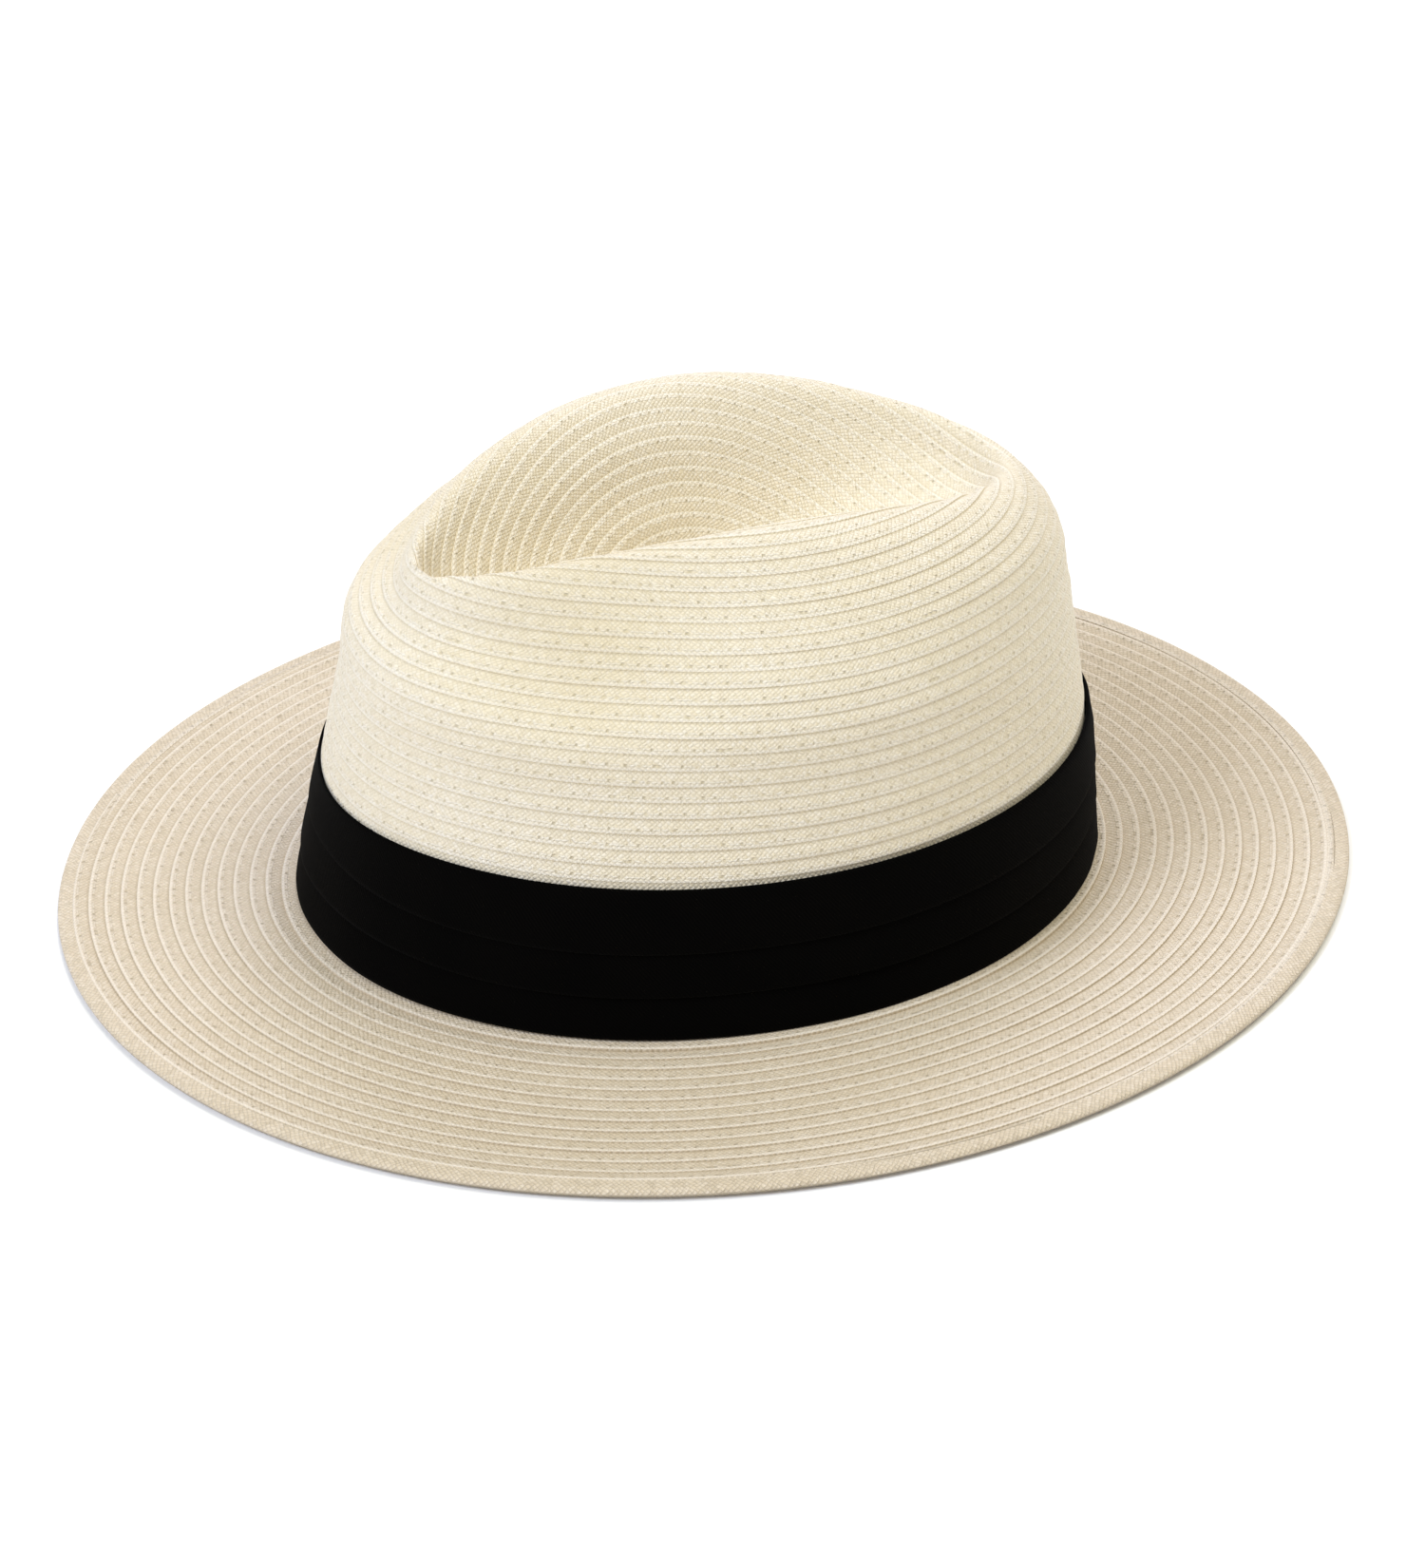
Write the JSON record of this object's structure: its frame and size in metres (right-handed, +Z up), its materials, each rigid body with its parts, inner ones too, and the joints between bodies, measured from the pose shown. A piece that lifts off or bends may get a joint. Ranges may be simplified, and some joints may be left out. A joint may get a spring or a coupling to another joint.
{
  "type": "panama hat",
  "caption": "Sewn-braid straw hat of the panama shape with a creased crown, a level wired brim, a pleated black band and an adjustable sweatband.",
  "frame": {"origin": "middle of the flat underside of the brim's edge row, on the surface that the hat stands on", "axes": "+Z up through the crown, -Y to the front of the hat, +X to the wearer's left"},
  "size_m": [0.2898, 0.3302, 0.1128],
  "materials": {
    "crown_straw": "paper-straw braid, cream, soft sheen",
    "brim_straw": "paper-straw braid, beige, matt",
    "wire": "bright drawn wire",
    "ferrule": "plain crimped sleeve",
    "band_backing": "stiff woven tape",
    "band_cloth": "black pleated cloth, matt with a fine twill",
    "black_thread": "sewing thread",
    "sweatband_cloth": "ribbed cotton tape",
    "cream_thread": "sewing thread",
    "strap_tape": "woven tape with a hook face",
    "loop_pad": "brushed loop pile",
    "label_cloth": "blank satin label"
  },
  "bodies": {
    "hat": {"crown": "crown_straw", "brim": "brim_straw", "brim_edge_row": "brim_straw", "brim_wire": "wire", "wire_ferrule": "ferrule", "hatband_backing": "band_backing", "hatband": "band_cloth", "hatband_keeper": "band_cloth", "hatband_tacks": "black_thread", "sweatband": "sweatband_cloth", "sweatband_stitches": "cream_thread", "size_strap_base": "strap_tape", "size_strap_pad": "loop_pad", "size_label": "label_cloth"},
    "size_strap": {"size_strap": "strap_tape"}
  },
  "joints": [
    {"name": "size_strap_peel", "type": "hinge", "parent": "hat", "child": "size_strap", "pos_m": [0.01462, 0.092, 0.01642], "axis": [0, 0.022, 0.9998], "range_deg": [0, 70]}
  ]
}
